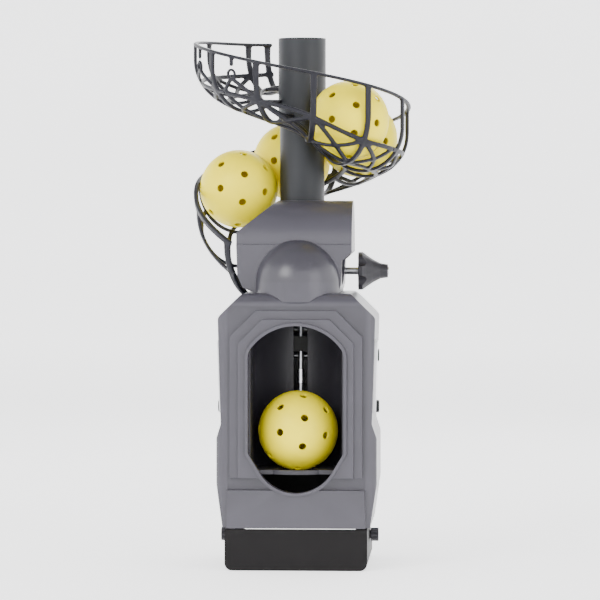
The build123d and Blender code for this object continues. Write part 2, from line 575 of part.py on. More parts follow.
for node, (start, end) in TRAY_SECTIONS.items():
    half_joint = 0.02
    PARTS[node] = tray_section(start + half_joint, end - half_joint)
for node, angles in (("tray_upper", (150, 205)), ("tray_front", (245,))):
    for angle in angles:
        PARTS[node] += hub_arm(angle)
PARTS["tray_lower"] -= turret_envelope(TRAY_GAP)

for k, angle in enumerate(TRAY_BALL_ANGLES, start=1):
    x, y = polar(BALL_PATH_R, angle)
    PARTS[f"tray_ball_{k}"] = ball_at((x, y, height_at(PATH_HEIGHTS, angle)))


# ---- Kicker, gears and motor ----
def gear_outline(teeth, first_tooth, count=None):
    """Involute spur gear: the outline in Y and Z, with its first tooth centred on an angle."""
    pitch_r = GEAR_MODULE * teeth / 2
    base_r = pitch_r * math.cos(math.radians(20))
    tip_r, root_r = pitch_r + 0.85 * GEAR_MODULE, pitch_r - 1.2 * GEAR_MODULE

    def involute(r):
        angle = math.acos(min(1, base_r / r))
        return math.tan(angle) - angle

    def half_tooth(r):
        thickness = math.pi / 2 - GEAR_BACKLASH / GEAR_MODULE / 2
        return thickness / teeth + involute(pitch_r) - involute(r)

    start_r = max(root_r, base_r)
    radii = [start_r + (tip_r - start_r) * k / 3 for k in range(4)]
    points = []
    for k in range(teeth):
        centre = math.radians(first_tooth) + 2 * math.pi * k / teeth
        if count is not None and k >= count:
            points.append((root_r * math.cos(centre), root_r * math.sin(centre)))
            continue
        flank = [(r, -half_tooth(r)) for r in radii]
        if start_r > root_r:
            flank.insert(0, (root_r, -half_tooth(start_r)))
        flank += [(r, -a) for r, a in reversed(flank)]
        points += [(r * math.cos(centre + a), r * math.sin(centre + a)) for r, a in flank]
    return make_face(Polyline(points, close=True))


def step_from(y, z, distance, direction):
    turn = math.radians(direction)
    return y + distance * math.cos(turn), z + distance * math.sin(turn)


def centres(teeth_a, teeth_b):
    return GEAR_MODULE * (teeth_a + teeth_b) / 2


def wheel(outline, y, z, x_low, x_high, bore_r):
    gear = side_slab(Pos(y, z) * outline, x_low, x_high)
    return gear - cross_rod(bore_r, y, z, x_low - 1, x_high + 1)


WIND_Y, WIND_Z = step_from(KICK_Y, KICK_Z, centres(SECTOR_TEETH, WINDING_TEETH), WINDING_DIR)
IDLE_Y, IDLE_Z = step_from(WIND_Y, WIND_Z, centres(DRIVE_TEETH, SMALL_TEETH), -90)
MOTOR_Y, MOTOR_Z = step_from(IDLE_Y, IDLE_Z, centres(LARGE_TEETH, PINION_TEETH), -90)
SECTOR_X, DRIVE_X, LARGE_X = (14.0, 20.0), (24.0, 29.0), (31.0, 35.0)
PLATE_LEFT = (PLATE_LEFT_X, PLATE_LEFT_X + PLATE_T)
PLATE_RIGHT = (PLATE_RIGHT_X, PLATE_RIGHT_X + PLATE_T)

sector_step, winding_step = 360 / SECTOR_TEETH, 360 / WINDING_TEETH
sector_first = WINDING_DIR + sector_step - sector_step * math.ceil((KICK_MAX + 15) / sector_step)
sector_count = math.ceil((KICK_MAX + 25) / sector_step)
sector = wheel(gear_outline(SECTOR_TEETH, sector_first, sector_count), KICK_Y, KICK_Z, *SECTOR_X,
               KICK_SHAFT_R + SEAT_GAP)
wedge_r = GEAR_MODULE * SECTOR_TEETH
wedge_angles = [sector_first - 8 + k * (sector_step * sector_count + 8) / 4 for k in range(5)]
wedge_points = [step_from(0, 0, wedge_r, a) for a in wedge_angles]
wedge_face = make_face(Polyline([(0, 0)] + wedge_points, close=True)) + Circle(8)
PARTS["kicker_sector_gear"] = sector & side_slab(Pos(KICK_Y, KICK_Z) * wedge_face, *SECTOR_X)

toward_kicker = WINDING_DIR + 180
winding_first = toward_kicker - 0.5 * winding_step - winding_step
winding_count = math.ceil(KICK_MAX * SECTOR_TEETH / WINDING_TEETH / winding_step) + 4
winding = wheel(gear_outline(WINDING_TEETH, winding_first, winding_count), WIND_Y, WIND_Z, *SECTOR_X,
                PIN_R + SEAT_GAP)
PARTS["winding_gear"] = winding
PARTS["drive_gear"] = wheel(gear_outline(DRIVE_TEETH, -90), WIND_Y, WIND_Z, *DRIVE_X, PIN_R + SEAT_GAP)
PARTS["winding_shaft"] = cross_rod(PIN_R, WIND_Y, WIND_Z, PLATE_LEFT_X, PLATE_RIGHT_X + PLATE_T)
small_first = 90 + 180 / SMALL_TEETH
reduction = side_slab(Pos(IDLE_Y, IDLE_Z) * gear_outline(SMALL_TEETH, small_first),
                      DRIVE_X[0], DRIVE_X[1] + 1)
reduction += side_slab(Pos(IDLE_Y, IDLE_Z) * gear_outline(LARGE_TEETH, -90), DRIVE_X[1] + 1, LARGE_X[1])
PARTS["reduction_gear"] = reduction - cross_rod(IDLE_BORE_R + SHAFT_GAP, IDLE_Y, IDLE_Z, 0, 60)
pinion_first = 90 + 180 / PINION_TEETH
PARTS["motor_pinion"] = wheel(gear_outline(PINION_TEETH, pinion_first), MOTOR_Y, MOTOR_Z, *LARGE_X,
                              MOTOR_SHAFT_R + SEAT_GAP)
PARTS["motor_shaft"] = cross_rod(MOTOR_SHAFT_R, MOTOR_Y, MOTOR_Z, LARGE_X[0] - 1,
                                 PLATE_RIGHT[1] + MOTOR_L - 2)
motor_face_x = PLATE_RIGHT[1] + SEAT_GAP
PARTS["motor"] = (cross_rod(MOTOR_R, MOTOR_Y, MOTOR_Z, motor_face_x, motor_face_x + MOTOR_L)
                  - cross_rod(MOTOR_SHAFT_R + SHAFT_GAP, MOTOR_Y, MOTOR_Z, 0, motor_face_x + MOTOR_L - 1))

PARTS["kicker_shaft"] = cross_rod(KICK_SHAFT_R, KICK_Y, KICK_Z, PLATE_LEFT_X - 2, PLATE_RIGHT_X + PLATE_T + 2)
bushes = []
for low, high, flange_low in ((*PLATE_LEFT, PLATE_LEFT[1]), (*PLATE_RIGHT, PLATE_RIGHT_X - 1.5)):
    bush = cross_rod(BUSH_R, KICK_Y, KICK_Z, low, high)
    bush += cross_rod(BUSH_FLANGE_R, KICK_Y, KICK_Z, flange_low, flange_low + 1.5)
    bushes.append(bush - cross_rod(KICK_SHAFT_R + SHAFT_GAP, KICK_Y, KICK_Z, low - 3, high + 3))
PARTS["kicker_bushes"] = Compound(children=bushes)

HAMMER_Y = DROP_Y + BALL_R + FREE_GAP + 0.2
HAMMER_Z = ball_rest_z
rod_foot = Vector(0, HAMMER_Y + HAMMER_D - 3.2, HAMMER_Z + 4)
rod_head = Vector(0, KICK_Y, KICK_Z)
rod_dir = (rod_head - rod_foot).normalized()
rod_plane = Plane(origin=rod_foot, z_dir=rod_dir)
rod_length = (rod_head - rod_foot).length
hub = cross_rod(KICK_SHAFT_R + 3, KICK_Y, KICK_Z, SPRING_X, 5)
rod = rod_plane * extrude(Circle(ROD_R), rod_length - KICK_SHAFT_R - 1)
kicker_bore = cross_rod(KICK_SHAFT_R + SEAT_GAP, KICK_Y, KICK_Z, -20, 20)
ferrule = Plane(origin=rod_foot + rod_dir * (FERRULE_Z - rod_foot.Z), z_dir=rod_dir)
PARTS["kicker_ferrule"] = ferrule * extrude(Circle(FERRULE_R) - Circle(ROD_R + SEAT_GAP), FERRULE_L)
hammer = block(-HAMMER_HALF_W, HAMMER_HALF_W, HAMMER_Y, HAMMER_Y + HAMMER_D, HAMMER_Z - HAMMER_H / 2,
               HAMMER_Z + HAMMER_H / 2)
hammer = fillet(hammer.edges().filter_by(Axis.X), 3)
PARTS["kicker_hammer"] = hammer - rod_plane * extrude(Circle(ROD_R + SEAT_GAP), 60)
lever_hub_x = (SPRING_X - 4, SPRING_X + 4)
lever = cross_rod(KICK_SHAFT_R + 3, KICK_Y, KICK_Z, *lever_hub_x)
lever += block(*lever_hub_x, KICK_Y, SPRING_Y, KICK_Z - 2, KICK_Z + 2)
lever += upright(SPRING_R + 0.8, SPRING_X, SPRING_Y, KICK_Z - 2, KICK_Z + 3)
PARTS["kicker_arm"] = hub + rod + lever - kicker_bore
stop_back_y = KICK_Y - (KICK_Z - STOP_Z) * math.tan(math.asin(rod_dir.Y)) - ROD_R - 2 * FREE_GAP
PARTS["kicker_stop"] = block(-11, 11, DROP_Y + CHANNEL_R + CHANNEL_WALL + SEAT_GAP, stop_back_y,
                             STOP_Z - 7, STOP_Z + 7)

posts = [(66.0, 155.0), (64.0, 240.0)]
plate_face = make_face(Polyline((11, 205), (11, 250.5), (58, 250.5), (71, 240), (71, 150), (44, 150),
                                (36, 160), (36, 190), close=True))
for hand, (low, high) in (("left", PLATE_LEFT), ("right", PLATE_RIGHT)):
    plate = side_slab(plate_face, low, high)
    plate -= cross_rod(BUSH_R + SEAT_GAP, KICK_Y, KICK_Z, -90, 90)
    plate -= cross_rod(PIN_R + SHAFT_GAP, WIND_Y, WIND_Z, -90, 90)
    plate -= cross_rod(IDLE_BORE_R + SEAT_GAP, IDLE_Y, IDLE_Z, -90, 90)
    plate -= cross_rod(MOTOR_SHAFT_R + 1.5, MOTOR_Y, MOTOR_Z, -90, 90)
    PARTS[f"gear_plate_{hand}"] = plate
post_rods = [cross_rod(POST_R, y, z, PLATE_LEFT[1] + SEAT_GAP, PLATE_RIGHT_X - SEAT_GAP) for y, z in posts]
reduction_pin = cross_rod(IDLE_BORE_R, IDLE_Y, IDLE_Z, PLATE_LEFT_X, PLATE_RIGHT_X + PLATE_T)
PARTS["gear_pins"] = Compound(children=post_rods + [reduction_pin])

# ---- Strength knob, cam, spring seat and return spring ----
seat_top_z = KNOB_Z - CAM_R - 0.5
seat_low_z = seat_top_z - SPRING_SEAT_T
PARTS["spring_seat"] = upright(SPRING_SEAT_R, SPRING_X, SPRING_Y, seat_low_z, seat_top_z)
lever_top_z = KICK_Z + 3
spring_l = seat_low_z - lever_top_z - 2 * SPRING_WIRE_R - 0.4
spring_path = Helix(pitch=SPRING_PITCH, height=spring_l, radius=SPRING_R - SPRING_WIRE_R)
spring_start = Plane(origin=spring_path @ 0, z_dir=spring_path % 0)
coil = sweep(spring_start * Circle(SPRING_WIRE_R), path=spring_path)
PARTS["return_spring"] = Pos(SPRING_X, SPRING_Y, lever_top_z + SPRING_WIRE_R + 0.2) * coil

cam_points = []
for k in range(37):
    angle = 10.0 * k
    rising = angle <= KNOB_TURN + 30
    lift = CAM_LIFT * (min(1.0, angle / KNOB_TURN) if rising else (360 - angle) / 180)
    turn = math.radians(-90 - angle)
    cam_points.append(((CAM_R + lift) * math.cos(turn), (CAM_R + lift) * math.sin(turn)))
cam_face = make_face(Polyline(cam_points[:-1], close=True))
cam = side_slab(Pos(KNOB_Y, KNOB_Z) * cam_face, SPRING_X - CAM_HALF_T, SPRING_X + CAM_HALF_T)
PARTS["adjuster_shaft"] = cam + cross_rod(KNOB_SHAFT_R, KNOB_Y, KNOB_Z, SPRING_X - 11, KNOB_X + 12)
profile = Polyline((KNOB_X, 0), (KNOB_X, KNOB_R), (KNOB_X + 4, KNOB_R), (KNOB_X + 8, KNOB_R - 3.5),
                   (KNOB_X + 14, 11), (NOSE_X - 7, 7.4), (NOSE_X, 6.3), (NOSE_X, 0), close=True)
knob = revolve(make_face(profile), Axis.X)
for k in range(6):
    turn = math.radians(60 * k + 30)
    knob -= cross_rod(5.5, (KNOB_R + 2) * math.cos(turn), (KNOB_R + 2) * math.sin(turn), KNOB_X - 1, NOSE_X)
knob = Pos(0, KNOB_Y, KNOB_Z) * knob
PARTS["strength_knob"] = knob - cross_rod(KNOB_SHAFT_R + SEAT_GAP, KNOB_Y, KNOB_Z, KNOB_X - 1,
                                          KNOB_X + 12 + SEAT_GAP)
PARTS["knob_end_cap"] = cross_rod(4, KNOB_Y, KNOB_Z, NOSE_X + SEAT_GAP, NOSE_X + 1)

# ---- Batteries ----
cell_low_z = BODY_BOTTOM_Z + 8.5
cell_xs = [k * CELL_PITCH for k in (-1, 0, 1)]
cells = []
for x in cell_xs:
    terminal = upright(4, x, CELL_Y, cell_low_z + CELL_L - 1, cell_low_z + CELL_L + 1.5)
    cells.append(upright(CELL_R, x, CELL_Y, cell_low_z, cell_low_z + CELL_L) + terminal)
PARTS["battery_cells"] = Compound(children=cells)
bay_half_w, bay_wall = 1.5 * CELL_PITCH + 1, 1.5
bay = block(-bay_half_w - bay_wall, bay_half_w + bay_wall, CELL_Y - CELL_R - 1 - bay_wall,
            BODY_REAR_Y - WALL - 3.6, cell_low_z - 1 - bay_wall, cell_low_z + CELL_L + 4)
bay -= block(-bay_half_w, bay_half_w, CELL_Y - CELL_R - 1, BODY_REAR_Y,
             cell_low_z, cell_low_z + CELL_L + 2.5)
PARTS["battery_bay"] = bay


for node, shape in PARTS.items():
    export_step(shape, f"parts/{node}.step")
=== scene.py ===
import bpy
import bmesh
import json
import math
from mathutils import Matrix, Vector


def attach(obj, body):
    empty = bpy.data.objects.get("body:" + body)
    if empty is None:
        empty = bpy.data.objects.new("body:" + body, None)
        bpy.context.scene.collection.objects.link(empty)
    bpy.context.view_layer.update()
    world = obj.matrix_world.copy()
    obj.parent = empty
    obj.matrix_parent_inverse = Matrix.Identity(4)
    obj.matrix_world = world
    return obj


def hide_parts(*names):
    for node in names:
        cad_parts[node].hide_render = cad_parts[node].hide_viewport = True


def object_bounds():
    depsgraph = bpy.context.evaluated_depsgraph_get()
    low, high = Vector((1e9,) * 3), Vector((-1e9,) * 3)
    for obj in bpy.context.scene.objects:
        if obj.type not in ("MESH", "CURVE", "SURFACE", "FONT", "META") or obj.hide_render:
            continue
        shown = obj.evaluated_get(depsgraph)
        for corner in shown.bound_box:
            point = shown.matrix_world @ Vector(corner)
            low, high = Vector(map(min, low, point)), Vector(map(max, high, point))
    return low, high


# The pitching machine's visual model, in metres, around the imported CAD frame.
# Front is -Y, +X is to the right as seen from the front, +Z is up.

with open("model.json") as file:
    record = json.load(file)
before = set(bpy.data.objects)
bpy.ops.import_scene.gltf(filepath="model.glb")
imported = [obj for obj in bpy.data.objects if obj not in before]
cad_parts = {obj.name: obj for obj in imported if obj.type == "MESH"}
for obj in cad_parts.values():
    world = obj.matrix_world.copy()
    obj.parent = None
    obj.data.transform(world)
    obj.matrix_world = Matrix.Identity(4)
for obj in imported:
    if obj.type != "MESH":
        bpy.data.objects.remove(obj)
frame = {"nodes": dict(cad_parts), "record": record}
NODES = frame["nodes"]
CAD_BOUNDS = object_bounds()
MM = 0.001


# ---------------------------------------------------------------- node helpers
def new_material(name):
    material = bpy.data.materials.new(name)
    material.use_nodes = True
    tree = material.node_tree
    shader = tree.nodes["Principled BSDF"]
    return material, tree, shader


def noise(tree, scale, detail=4.0, rough=0.55, stretch=(1, 1, 1)):
    """Noise in the object's own metres, so grain keeps its real size."""
    coords = tree.nodes.new("ShaderNodeTexCoord")
    mapping = tree.nodes.new("ShaderNodeMapping")
    mapping.inputs["Scale"].default_value = stretch
    texture = tree.nodes.new("ShaderNodeTexNoise")
    texture.inputs["Scale"].default_value = scale
    texture.inputs["Detail"].default_value = detail
    texture.inputs["Roughness"].default_value = rough
    tree.links.new(coords.outputs["Object"], mapping.inputs["Vector"])
    tree.links.new(mapping.outputs["Vector"], texture.inputs["Vector"])
    return texture.outputs["Fac"]


def ramp(tree, source, stops):
    node = tree.nodes.new("ShaderNodeValToRGB")
    elements = node.color_ramp.elements
    while len(elements) < len(stops):
        elements.new(0.5)
    for element, (place, colour) in zip(elements, stops):
        element.position = place
        element.color = colour if len(colour) == 4 else (*colour, 1)
    tree.links.new(source, node.inputs["Fac"])
    return node.outputs["Color"]


def mix(tree, factor, a, b, blend="MIX"):
    node = tree.nodes.new("ShaderNodeMix")
    node.data_type = "RGBA"
    node.blend_type = blend
    for socket, value in ((node.inputs["Factor"], factor), (node.inputs["A"], a), (node.inputs["B"], b)):
        if isinstance(value, bpy.types.NodeSocket):
            tree.links.new(value, socket)
        else:
            socket.default_value = value if isinstance(value, (int, float)) else (*value, 1)[:4]
    return node.outputs["Result"]


def spread(tree, source, low, high):
    """The source's 0..1 range brought to low..high."""
    node = tree.nodes.new("ShaderNodeMapRange")
    node.inputs["To Min"].default_value = low
    node.inputs["To Max"].default_value = high
    tree.links.new(source, node.inputs["Value"])
    return node.outputs["Result"]


def bump(tree, shader, height, strength, distance, edge_r=0.0):
    node = tree.nodes.new("ShaderNodeBump")
    if edge_r:
        edge = tree.nodes.new("ShaderNodeBevel")
        edge.samples = 2
        edge.inputs["Radius"].default_value = edge_r
        tree.links.new(edge.outputs["Normal"], node.inputs["Normal"])
    node.inputs["Strength"].default_value = strength
    node.inputs["Distance"].default_value = distance
    tree.links.new(height, node.inputs["Height"])
    tree.links.new(node.outputs["Normal"], shader.inputs["Normal"])


def edge_mask(tree):
    """White on raised edges, where handling rubs the surface."""
    geometry = tree.nodes.new("ShaderNodeNewGeometry")
    return ramp(tree, geometry.outputs["Pointiness"], [(0.51, (0, 0, 0)), (0.58, (1, 1, 1))])


def shade(colour, factor):
    return tuple(min(1.0, c * factor) for c in colour)


# ---------------------------------------------------------------- materials
def moulded(name, colour, rough=0.45, grain=2600, grain_depth=0.05, wear=0.35, coat=0.0, cloud=26, gloss=0.4):
    """Injection-moulded plastic: spark-eroded grain, faint flow clouds, paler rubbed edges."""
    material, tree, shader = new_material(name)
    clouds = noise(tree, cloud, 5)
    specks = noise(tree, grain, 2)
    base = ramp(tree, clouds, [(0.3, shade(colour, 0.88)), (0.7, shade(colour, 1.12))])
    specked = mix(tree, spread(tree, specks, 0.0, 0.18), base, shade(colour, 0.6))
    worn = mix(tree, edge_mask(tree), specked, mix(tree, wear, specked, shade(colour, 1.9)))
    tree.links.new(worn, shader.inputs["Base Color"])
    smudges = noise(tree, 9, 6, 0.7)
    tree.links.new(spread(tree, smudges, rough - 0.09, rough + 0.1), shader.inputs["Roughness"])
    shader.inputs["Coat Weight"].default_value = coat
    shader.inputs["Coat Roughness"].default_value = 0.2
    shader.inputs["Specular IOR Level"].default_value = gloss
    bump(tree, shader, specks, grain_depth, 0.0004, 0.0007)
    return material


def metal(name, colour, rough, stretch=(1, 1, 1)):
    """Drawn or turned metal with fine lines and a few dull patches."""
    material, tree, shader = new_material(name)
    lines = noise(tree, 900, 3, 0.5, stretch)
    dull = noise(tree, 60, 5)
    tree.links.new(ramp(tree, dull, [(0.3, shade(colour, 0.8)), (0.7, colour)]), shader.inputs["Base Color"])
    shader.inputs["Metallic"].default_value = 1.0
    tree.links.new(spread(tree, lines, rough - 0.08, rough + 0.12), shader.inputs["Roughness"])
    bump(tree, shader, lines, 0.06, 0.0003)
    return material


def ball_plastic(name, colour):
    """Soft polyethylene of a practice ball, slightly see-through, scuffed by use."""
    material, tree, shader = new_material(name)
    clouds = noise(tree, 35, 4)
    scuffs = noise(tree, 700, 6, 0.75, (1, 0.25, 1))
    base = ramp(tree, clouds, [(0.3, shade(colour, 0.93)), (0.72, shade(colour, 1.05))])
    marks = ramp(tree, scuffs, [(0.64, (0, 0, 0)), (0.72, (0.35, 0.35, 0.35))])
    tree.links.new(mix(tree, marks, base, shade(colour, 0.72)), shader.inputs["Base Color"])
    tree.links.new(spread(tree, scuffs, 0.32, 0.5), shader.inputs["Roughness"])
    shader.inputs["Subsurface Weight"].default_value = 0.1
    shader.inputs["Specular IOR Level"].default_value = 0.2
    shader.inputs["Subsurface Radius"].default_value = (0.012, 0.011, 0.002)
    shader.inputs["Subsurface Scale"].default_value = 0.35
    bump(tree, shader, scuffs, 0.08, 0.0004)
    return material


MATERIALS = {
    "body_grey": moulded("body_grey_moulded", (0.034, 0.032, 0.041), 0.31, wear=0.3, coat=0.12),
    "stand_black": moulded("stand_black_moulded", (0.0035, 0.003, 0.0032), 0.45, gloss=0.15),
    "inner_dark": moulded("inner_dark_moulded", (0.018, 0.017, 0.022), 0.42, wear=0.2),
    "mast_slate": moulded("mast_slate_moulded", (0.007, 0.008, 0.010), 0.4, grain=1800, gloss=0.3),
    "tray_black": moulded("tray_black_moulded", (0.0055, 0.0055, 0.0095), 0.36, wear=0.3, gloss=0.25),
    "knob_dark": moulded("knob_dark_moulded", (0.018, 0.017, 0.021), 0.4, gloss=0.3),
    "button_black": moulded("button_black_moulded", (0.004, 0.004, 0.005), 0.35, gloss=0.2),
    "strip_white": moulded("strip_white_moulded", (0.86, 0.86, 0.88), 0.3, grain=1500, wear=0.0, coat=0.4),
    "ball_yellow": ball_plastic("ball_yellow_polythene", (0.84, 0.69, 0.0)),
    "rubber": moulded("rubber_moulded", (0.018, 0.018, 0.018), 0.75, grain=1400, grain_depth=0.15, wear=0.1),
    "steel": metal("steel_drawn", (0.56, 0.57, 0.59), 0.32, (0.08, 1, 1)),
    "silver": metal("silver_plated", (0.86, 0.86, 0.88), 0.16),
    "gear_white": moulded("gear_acetal", (0.72, 0.70, 0.64), 0.35, grain=1500, wear=0.1),
    "brass": metal("brass_turned", (0.75, 0.55, 0.25), 0.28),
    "iron": moulded("iron_cast", (0.03, 0.03, 0.032), 0.6, grain=900, grain_depth=0.3),
    "board": moulded("board_green", (0.02, 0.14, 0.06), 0.4, grain=500, wear=0.1),
    "cell": moulded("cell_wrap", (0.05, 0.07, 0.11), 0.3, wear=0.1, coat=0.4),
}


def dress(obj, slot_name):
    obj.data.materials.clear()
    obj.data.materials.append(MATERIALS[slot_name])


SLOT_OF = {row["node"]: row["material_slot"] for row in frame["record"]["subparts"]}
for node, obj in NODES.items():
    for slot in obj.material_slots:
        slot.material = MATERIALS[SLOT_OF[node]]

# ---------------------------------------------------------------- floor, lights, camera
HEIGHT = CAD_BOUNDS[1][2]
CENTRE = Vector((0.0, 0.0, HEIGHT / 2))
CAMERA_AZIMUTH, CAMERA_ELEVATION = math.radians(3.0), math.radians(1.5)
CAMERA_DISTANCE = 3.2
FRAME_HEIGHT = HEIGHT * 1.14
FLOOR_R, WALL_CURVE, WALL_H = 5.0, 2.0, 4.5
CURVE_STEPS, FLOOR_STEPS = 10, 96


def aim(obj, place, target):
    obj.location = place
    obj.rotation_euler = (target - place).to_track_quat("-Z", "Y").to_euler()


def make_camera():
    data = bpy.data.cameras.new("camera")
    camera = bpy.data.objects.new("camera", data)
    bpy.context.collection.objects.link(camera)
    back = Vector((math.sin(CAMERA_AZIMUTH) * math.cos(CAMERA_ELEVATION),
                   -math.cos(CAMERA_AZIMUTH) * math.cos(CAMERA_ELEVATION), math.sin(CAMERA_ELEVATION)))
    aim(camera, CENTRE + back * CAMERA_DISTANCE, CENTRE)
    data.angle = 2 * math.atan(FRAME_HEIGHT / 2 / CAMERA_DISTANCE)
    data.clip_end = 50
    bpy.context.scene.camera = camera


def area_light(name, place, size, power, target=CENTRE):
    data = bpy.data.lights.new(name, "AREA")
    data.shape = "RECTANGLE"
    data.size, data.size_y = size
    data.energy = power
    light = bpy.data.objects.new(name, data)
    bpy.context.collection.objects.link(light)
    aim(light, Vector(place), target)


def studio_floor():
    """A round white floor that curves up into a wall on every side."""
    turns = [math.radians(90 * k / CURVE_STEPS) for k in range(1, CURVE_STEPS + 1)]
    profile = [(0.0, 0.0), (FLOOR_R, 0.0)]
    profile += [(FLOOR_R + WALL_CURVE * math.sin(a), WALL_CURVE * (1 - math.cos(a))) for a in turns]
    profile.append((FLOOR_R + WALL_CURVE, WALL_H))
    bm = bmesh.new()
    spine = [bm.verts.new((r, 0, z)) for r, z in profile]
    edges = [bm.edges.new(pair) for pair in zip(spine, spine[1:])]
    bmesh.ops.spin(bm, geom=spine + edges, axis=(0, 0, 1), cent=(0, 0, 0), steps=FLOOR_STEPS,
                   angle=2 * math.pi)
    bmesh.ops.remove_doubles(bm, verts=bm.verts, dist=0.0001)
    bmesh.ops.recalc_face_normals(bm, faces=bm.faces)
    mesh = bpy.data.meshes.new("floor")
    bm.to_mesh(mesh)
    bm.free()
    mesh.polygons.foreach_set("use_smooth", [True] * len(mesh.polygons))
    floor = bpy.data.objects.new("floor", mesh)
    bpy.context.collection.objects.link(floor)
    material, tree, shader = new_material("floor_paper")
    paper = ramp(tree, noise(tree, 3, 3), [(0.3, (0.86, 0.86, 0.87)), (0.7, (0.90, 0.90, 0.91))])
    tree.links.new(paper, shader.inputs["Base Color"])
    shader.inputs["Roughness"].default_value = 0.85
    shader.inputs["Emission Color"].default_value = (1, 1, 1, 1)
    shader.inputs["Emission Strength"].default_value = 1.3
    mesh.materials.append(material)


def make_studio():
    studio_floor()
    world = bpy.data.worlds.new("studio")
    world.use_nodes = True
    world.node_tree.nodes["Background"].inputs["Color"].default_value = (1, 1, 1, 1)
    world.node_tree.nodes["Background"].inputs["Strength"].default_value = 1.0
    bpy.context.scene.world = world
    area_light("key_left", (-1.1, -1.6, 1.3), (0.9, 0.9), 26)
    area_light("fill_right", (1.5, -1.3, 0.7), (1.0, 1.2), 8)
    area_light("rim_back", (0.3, 1.6, 1.4), (1.2, 0.8), 14)


make_camera()
make_studio()


# ---------------------------------------------------------------- mesh helpers
def add_object(name, bm, slot_name, body, replaced):
    """A new piece of the visual, in its material, riding on a body in place of the CAD nodes."""
    bmesh.ops.recalc_face_normals(bm, faces=bm.faces)
    mesh = bpy.data.meshes.new(name)
    bm.to_mesh(mesh)
    bm.free()
    obj = bpy.data.objects.new(name, mesh)
    bpy.context.collection.objects.link(obj)
    mesh.polygons.foreach_set("use_smooth", [True] * len(mesh.polygons))
    dress(obj, slot_name)
    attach(obj, body)
    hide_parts(*replaced)
    return obj


def apply_modifiers(obj):
    graph = bpy.context.evaluated_depsgraph_get()
    mesh = bpy.data.meshes.new_from_object(obj.evaluated_get(graph))
    old = obj.data
    obj.modifiers.clear()
    obj.data = mesh
    bpy.data.meshes.remove(old)


BAR_CORNER = 0.28


def add_bar(bm, points, normals, width, thickness, closed=False):
    """A bar with rounded corners along points; its thickness lies along the normals."""
    half_w, half_t = width / 2, thickness / 2
    cut = BAR_CORNER * min(width, thickness)
    section = [(half_w, half_t - cut), (half_w - cut, half_t),
               (cut - half_w, half_t), (-half_w, half_t - cut),
               (-half_w, cut - half_t), (cut - half_w, -half_t),
               (half_w - cut, -half_t), (half_w, cut - half_t)]
    sides = len(section)
    rings = []
    count = len(points)
    for i, (point, normal) in enumerate(zip(points, normals)):
        before = points[(i - 1) % count] if closed or i else points[0]
        after = points[(i + 1) % count] if closed or i < count - 1 else points[-1]
        along = (after - before).normalized()
        side = along.cross(normal).normalized()
        up = side.cross(along).normalized()
        rings.append([bm.verts.new(point + side * a + up * b) for a, b in section])
    pairs = list(zip(rings, rings[1:]))
    if closed:
        pairs.append((rings[-1], rings[0]))
    for low, high in pairs:
        for k in range(sides):
            n = (k + 1) % sides
            bm.faces.new((low[k], low[n], high[n], high[k]))
    if not closed:
        bm.faces.new(rings[0])
        bm.faces.new(list(reversed(rings[-1])))


# ---------------------------------------------------------------- spiral tray
# In millimetres, along the CAD trough: heights of the rim and of a ball's centre, against the angle about
# the mast.  Places across the trough are degrees below a ball's centre; sizes are (width, thickness).
MAST_Y = 40.0
TRAY_ANGLES = [110, 180, 270, 320, 392, 463, 531, 556, 592]
RIM_HEIGHTS = [493, 490, 461, 444, 419, 397, 360, 336, 302]
PATH_HEIGHTS = [484, 474, 445, 414, 399, 377.5, 351, 331, 298]
PATH_R, SKIN_R, TRAY_R = 61.5, 39.6, 103.0
TRAY_SPANS = {"tray_upper": (110, 225), "tray_front": (225, 335), "tray_middle": (335, 450),
              "tray_lower": (450, 592)}
RIB_START, RIB_STEP = 124, 31
INNER_EDGE, LOW_RAIL, MID_RAIL = -122, -78, -32
RAIL_SIZES = {MID_RAIL: (4.6, 3.0), LOW_RAIL: (4.4, 3.0), INNER_EDGE: (5.0, 3.2)}
SIDE_RAIL, RIM_SIZE = (3.6, 2.8), (4.8, 3.0)
WALL_RIB, FLOOR_RIB = (6.4, 3.2), (6.0, 3.2)
BRACE, THIN_BRACE, ARM, RING = (4.4, 3.0), (4.0, 3.0), (7.0, 4.0), (2.4, 3.0)
BAY_COUNT, END_INSET, RAIL_STEP = 16, 2.5, 3
RING_R, RING_PLACE, RING_SPAN, RING_STEPS = 4.2, -4, (195, 260), 20
ARM_ANGLES = {"tray_upper": (150, 205), "tray_front": (245,)}
HUB_R = 22.6


def height_at(heights, angle):
    """Smooth height at an angle: a cubic through the listed heights."""
    last = len(TRAY_ANGLES) - 2
    i = max(k for k in range(last + 1) if TRAY_ANGLES[k] <= angle)
    span = TRAY_ANGLES[i + 1] - TRAY_ANGLES[i]

    def slope(k):
        low, high = max(k - 1, 0), min(k + 1, last + 1)
        return (heights[high] - heights[low]) / (TRAY_ANGLES[high] - TRAY_ANGLES[low])

    t = (angle - TRAY_ANGLES[i]) / span
    start, end = slope(i) * span, slope(i + 1) * span
    return ((2 * t**3 - 3 * t**2 + 1) * heights[i] + (t**3 - 2 * t**2 + t) * start
            + (3 * t**2 - 2 * t**3) * heights[i + 1] + (t**3 - t**2) * end)


def in_space(r, z, angle):
    turn = math.radians(angle)
    return Vector((r * math.cos(turn), MAST_Y + r * math.sin(turn), z)) * MM


